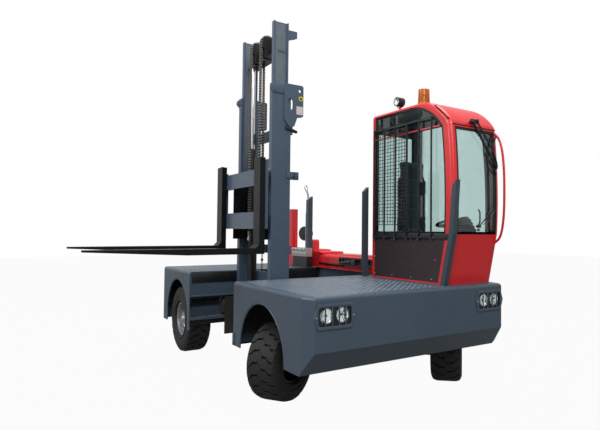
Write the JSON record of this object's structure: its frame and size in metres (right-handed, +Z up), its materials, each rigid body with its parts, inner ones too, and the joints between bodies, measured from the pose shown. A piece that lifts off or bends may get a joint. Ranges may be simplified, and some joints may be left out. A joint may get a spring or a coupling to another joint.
{
  "type": "sideloader",
  "caption": "Platform truck with a traversing side mast, forks, a one-man cab, front and rear load decks and steered front wheels.",
  "frame": {"origin": "middle of the footprint on the floor, grab handle, fork tips and parked left front tyre included", "axes": "+X forwards (cab end), +Y to the vehicle's left, away from the forks, +Z up"},
  "size_m": [4.263, 3.631, 3.898],
  "materials": {
    "slate_paint": "slate blue-grey enamel",
    "slate_deck": "slate enamel, worn on top",
    "red_paint": "red enamel",
    "dark_panel": "brown-black enamel",
    "black_paint": "black satin paint",
    "fork_steel": "black paint on forged steel",
    "bare_steel": "machined steel",
    "chain_steel": "oiled chain steel",
    "chrome_rod": "hard chrome",
    "tyre_rubber": "black rubber",
    "rim_silver": "silver paint",
    "clear_glass": "pale green tinted glass",
    "amber_lens": "amber plastic",
    "black_plastic": "black plastic",
    "seat_fabric": "black woven seat cover",
    "cast_block": "engine block"
  },
  "bodies": {
    "chassis": {"front_body": "slate_paint", "rear_body": "slate_paint", "front_platform": "slate_deck", "rear_platform": "slate_deck", "headlights": "black_plastic", "chassis_frame": "slate_paint", "traverse_rails": "slate_paint", "engine_bay_panels": "slate_paint", "engine_hood": "red_paint", "hood_grille": "black_paint", "engine": "cast_block", "rear_cowl": "red_paint", "air_cleaner_housing": "red_paint", "hydraulic_unit": "black_paint", "valve_block": "bare_steel", "stanchions": "slate_paint", "front_axle": "black_paint", "rear_axle": "black_paint", "cab_frame": "red_paint", "cab_roof": "red_paint", "cab_floor": "black_plastic", "grab_handle": "red_paint", "window_guard": "black_paint", "seat_pedestal": "black_plastic", "seat_cushion": "seat_fabric", "seat_back": "seat_fabric", "steering_column": "black_plastic", "control_console": "black_plastic", "beacon": "amber_lens", "work_lamp": "black_plastic", "cab_front_panel": "red_paint", "cab_lower_panels": "dark_panel", "cab_windows": "clear_glass"},
    "door": {"cab_door": "red_paint", "door_glass": "clear_glass"},
    "mast_carriage": {"traverse_carriage": "slate_paint", "traverse_rollers": "bare_steel"},
    "mast": {"outer_mast": "slate_paint", "lift_cylinder_barrels": "black_paint"},
    "inner_mast_stage": {"inner_mast": "slate_paint", "lift_rods": "chrome_rod", "chain_pulleys": "bare_steel", "lift_chains": "chain_steel"},
    "lift_carriage": {"fork_carriage": "slate_paint", "carriage_side_plates": "black_paint", "forks": "fork_steel"},
    "tilt_cylinder": {"tilt_barrels": "black_paint"},
    "tilt_rod": {"tilt_rods": "chrome_rod"},
    "right_steering_knuckle": {"right_knuckle": "black_paint"},
    "left_steering_knuckle": {"left_knuckle": "black_paint"},
    "front_right_wheel": {"front_right_tyre": "tyre_rubber", "front_right_rim": "rim_silver"},
    "front_left_wheel": {"front_left_tyre": "tyre_rubber", "front_left_rim": "rim_silver"},
    "rear_right_wheel": {"rear_right_tyre": "tyre_rubber", "rear_right_rim": "rim_silver"},
    "rear_left_wheel": {"rear_left_tyre": "tyre_rubber", "rear_left_rim": "rim_silver"}
  },
  "joints": [
    {"name": "mast_traverse", "type": "slide", "parent": "chassis", "child": "mast_carriage", "axis": [0, 1, 0], "range_m": [-0.35, 0.8]},
    {"name": "mast_tilt", "type": "hinge", "parent": "mast_carriage", "child": "mast", "pos_m": [-0.2065, 0.10248, 0.33], "axis": [1, 0, 0], "range_deg": [-4, 3]},
    {"name": "tilt_cylinder_swing", "type": "hinge", "parent": "mast_carriage", "child": "tilt_cylinder", "pos_m": [-0.2065, 0.43948, 0.48], "axis": [1, 0, 0], "range_deg": [-3.73, 2.84]},
    {"name": "tilt_rod_stroke", "type": "slide", "parent": "tilt_cylinder", "child": "tilt_rod", "axis": [0, -0.5408, 0.8412], "range_m": [-0.02673, 0.02036]},
    {"name": "mast_lift", "type": "slide", "parent": "mast", "child": "inner_mast_stage", "axis": [0, 0, 1], "range_m": [-0.62, 1.3]},
    {"name": "carriage_lift", "type": "slide", "parent": "inner_mast_stage", "child": "lift_carriage", "axis": [0, 0, 1], "range_m": [-0.62, 1.3]},
    {"name": "right_steering", "type": "hinge", "parent": "chassis", "child": "right_steering_knuckle", "pos_m": [1.2915, -0.10552, 0.36], "axis": [0, 0, 1], "range_deg": [0, 104]},
    {"name": "left_steering", "type": "hinge", "parent": "chassis", "child": "left_steering_knuckle", "pos_m": [1.2915, 1.28448, 0.36], "axis": [0, 0, 1], "range_deg": [0, 104]},
    {"name": "front_right_spin", "type": "hinge", "parent": "right_steering_knuckle", "child": "front_right_wheel", "pos_m": [1.06435, -0.242, 0.36], "axis": [0.8572, 0.515, 0], "continuous": true},
    {"name": "front_left_spin", "type": "hinge", "parent": "left_steering_knuckle", "child": "front_left_wheel", "pos_m": [1.47888, 1.47186, 0.36], "axis": [0.7071, 0.7071, 0], "continuous": true},
    {"name": "rear_right_spin", "type": "hinge", "parent": "chassis", "child": "rear_right_wheel", "pos_m": [-1.4665, -0.32552, 0.42], "axis": [0, 1, 0], "continuous": true},
    {"name": "rear_left_spin", "type": "hinge", "parent": "chassis", "child": "rear_left_wheel", "pos_m": [-1.4665, 1.50448, 0.42], "axis": [0, 1, 0], "continuous": true},
    {"name": "door_hinge", "type": "hinge", "parent": "chassis", "child": "door", "pos_m": [0.7765, 1.68448, 2.352], "axis": [0, 0, 1], "range_deg": [0, 80]}
  ],
  "couplings": [
    {"joint": "tilt_cylinder_swing", "follows": "mast_tilt", "ratio": 0.88773},
    {"joint": "tilt_rod_stroke", "follows": "mast_tilt", "m_per_rad": 0.36459},
    {"joint": "carriage_lift", "follows": "mast_lift", "ratio": 1},
    {"joint": "left_steering", "follows": "right_steering", "ratio": 1}
  ]
}
